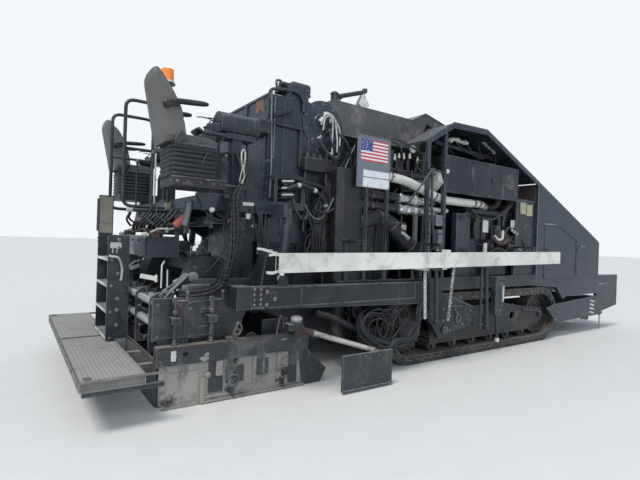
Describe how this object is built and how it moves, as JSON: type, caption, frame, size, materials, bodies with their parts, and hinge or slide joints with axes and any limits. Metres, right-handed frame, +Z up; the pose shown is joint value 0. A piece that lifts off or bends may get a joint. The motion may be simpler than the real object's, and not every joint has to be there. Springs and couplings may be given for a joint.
{
  "type": "asphalt paver",
  "caption": "Crawler asphalt paver with a truck hopper, slat conveyors, surge hopper, operator deck and a towed screed with sliding extensions.",
  "frame": {"origin": "on the ground, under the middle of the machine", "axes": "+X forward, towards the truck hopper; +Y left; +Z up"},
  "size_m": [10.01, 3.66, 3.6443],
  "materials": {
    "alloy": "dull whitish alloy, dented",
    "amber_plastic": "orange lens on a dark disc",
    "bar_steel": "dull steel tube",
    "black_rubber": "black moulded rubber",
    "chrome_rod": "polished rod",
    "console_plastic": "dark textured plastic",
    "conveyor_steel": "worn steel with asphalt film",
    "dark_paint": "worn dark grey paint with dust and rust spots",
    "dusty_paint": "dark paint under brown dust",
    "engine_iron": "oily dark casting",
    "frame_steel": "dirty painted casting",
    "gate_steel": "mottled light grey steel with rust",
    "pale_paint": "pale grey paint, dusty",
    "pipe_steel": "sooty pipe",
    "rail_steel": "grey painted tube, worn",
    "roller_steel": "scuffed steel roller",
    "screed_steel": "grey paint, rusty and coated",
    "seat_fabric": "dark seat fabric with a grey shell",
    "sign_sheet": "sheet with faded stripes of colour",
    "slate_paint": "dark slate gloss paint, dusty and scratched",
    "soot_paint": "brown-black paint, heat stained",
    "streaked_paint": "black paint with streaks of dried spray",
    "tank_paint": "dark grey paint with drips",
    "track_steel": "dirty worn steel",
    "tread_plate": "worn tread plate",
    "white_rubber": "pale dusty hose",
    "worn_steel": "worn hard steel"
  },
  "bodies": {
    "tractor": {"main_frame": "dark_paint", "track_right": "track_steel", "track_left": "track_steel", "track_frames": "frame_steel", "track_wheels": "frame_steel", "hopper_sides": "slate_paint", "hopper_floor": "conveyor_steel", "push_beam": "slate_paint", "engine_block": "engine_iron", "emulsion_tank": "tank_paint", "engine_hood": "slate_paint", "conveyor": "conveyor_steel", "conveyor_cover": "dusty_paint", "conveyor_head": "slate_paint", "surge_hopper": "slate_paint", "operator_deck": "slate_paint", "handrails": "rail_steel", "side_locker": "streaked_paint", "side_duct": "soot_paint", "sign_panel": "sign_sheet", "feed_pipes": "pipe_steel", "white_hose": "white_rubber", "ribbed_duct": "black_rubber", "auger_drive": "dark_paint", "spray_bar": "bar_steel", "beacon": "amber_plastic", "averaging_beam": "alloy", "beam_posts": "dark_paint", "tow_brackets": "slate_paint", "hose_rack": "dark_paint", "air_cleaner": "pale_paint", "engine_fittings": "engine_iron"},
    "push_roller_right": {"push_roller_right": "roller_steel"},
    "push_roller_left": {"push_roller_left": "roller_steel"},
    "auger_right": {"auger_right": "worn_steel"},
    "auger_left": {"auger_left": "worn_steel"},
    "screed": {"tow_arms": "slate_paint", "screed_main": "screed_steel", "ladder": "dark_paint"},
    "extension_right": {"extension_right": "screed_steel", "walkway_right": "tread_plate"},
    "extension_left": {"extension_left": "screed_steel", "walkway_left": "tread_plate"},
    "end_gate_right": {"end_gate_right": "gate_steel"},
    "end_gate_left": {"end_gate_left": "gate_steel"},
    "lift_barrel_right": {"lift_barrel_right": "dark_paint"},
    "lift_rod_right": {"lift_rod_right": "chrome_rod"},
    "seat_right": {"seat_base_right": "black_rubber", "seat_pad_right": "seat_fabric", "console_right": "console_plastic"},
    "side_door_right": {"side_door_right": "slate_paint"},
    "lift_barrel_left": {"lift_barrel_left": "dark_paint"},
    "lift_rod_left": {"lift_rod_left": "chrome_rod"},
    "seat_left": {"seat_base_left": "black_rubber", "seat_pad_left": "seat_fabric", "console_left": "console_plastic"},
    "side_door_left": {"side_door_left": "slate_paint"},
    "jib": {"jib": "dark_paint"}
  },
  "joints": [
    {"name": "push_roller_right", "type": "hinge", "parent": "tractor", "child": "push_roller_right", "pos_m": [4.904, -0.59, 0.51], "axis": [0, 1, 0], "continuous": true},
    {"name": "push_roller_left", "type": "hinge", "parent": "tractor", "child": "push_roller_left", "pos_m": [4.904, 0.59, 0.51], "axis": [0, 1, 0], "continuous": true},
    {"name": "auger_right", "type": "hinge", "parent": "tractor", "child": "auger_right", "pos_m": [-3.15, -0.635, 0.33], "axis": [0, 1, 0], "continuous": true},
    {"name": "auger_left", "type": "hinge", "parent": "tractor", "child": "auger_left", "pos_m": [-3.15, 0.635, 0.33], "axis": [0, 1, 0], "continuous": true},
    {"name": "screed_lift", "type": "hinge", "parent": "tractor", "child": "screed", "pos_m": [-0.598, 0, 0.442], "axis": [0, 1, 0], "range_deg": [0, 4.5]},
    {"name": "extension_right", "type": "slide", "parent": "screed", "child": "extension_right", "axis": [0, -1, 0], "range_m": [0, 0.9]},
    {"name": "extension_left", "type": "slide", "parent": "screed", "child": "extension_left", "axis": [0, 1, 0], "range_m": [0, 0.9]},
    {"name": "end_gate_right", "type": "slide", "parent": "extension_right", "child": "end_gate_right", "axis": [0, 0, 1], "range_m": [0, 0.12]},
    {"name": "end_gate_left", "type": "slide", "parent": "extension_left", "child": "end_gate_left", "axis": [0, 0, 1], "range_m": [0, 0.12]},
    {"name": "lift_barrel_right", "type": "hinge", "parent": "tractor", "child": "lift_barrel_right", "pos_m": [-3.105, -1.44, 1.78], "axis": [0, 1, 0], "range_deg": [-7.6, 0]},
    {"name": "lift_rod_right", "type": "slide", "parent": "lift_barrel_right", "child": "lift_rod_right", "axis": [0.0755, 0, 0.9971], "range_m": [0, 0.2021]},
    {"name": "lift_barrel_left", "type": "hinge", "parent": "tractor", "child": "lift_barrel_left", "pos_m": [-3.105, 1.44, 1.78], "axis": [0, 1, 0], "range_deg": [-7.6, 0]},
    {"name": "lift_rod_left", "type": "slide", "parent": "lift_barrel_left", "child": "lift_rod_left", "axis": [0.0755, 0, 0.9971], "range_m": [0, 0.2021]},
    {"name": "seat_turn_right", "type": "hinge", "parent": "tractor", "child": "seat_right", "pos_m": [-3.85, -1.18, 2.05], "axis": [0, 0, 1], "range_deg": [-90, 30]},
    {"name": "seat_turn_left", "type": "hinge", "parent": "tractor", "child": "seat_left", "pos_m": [-3.85, 1.18, 2.05], "axis": [0, 0, 1], "range_deg": [-30, 90]},
    {"name": "jib_swing", "type": "hinge", "parent": "tractor", "child": "jib", "pos_m": [-2.1, -0.83, 3.43], "axis": [0, 0, 1], "range_deg": [-90, 60]},
    {"name": "side_door_right", "type": "hinge", "parent": "tractor", "child": "side_door_right", "pos_m": [3.252, -1.392, 1.5], "axis": [0, 0, 1], "range_deg": [0, 110]},
    {"name": "side_door_left", "type": "hinge", "parent": "tractor", "child": "side_door_left", "pos_m": [3.252, 1.392, 1.5], "axis": [0, 0, 1], "range_deg": [-110, 0]}
  ],
  "couplings": [
    {"joint": "lift_barrel_right", "follows": "screed_lift", "ratio": -1.6449},
    {"joint": "lift_rod_right", "follows": "screed_lift", "m_per_rad": 2.5346},
    {"joint": "lift_barrel_left", "follows": "screed_lift", "ratio": -1.6449},
    {"joint": "lift_rod_left", "follows": "screed_lift", "m_per_rad": 2.5346}
  ]
}
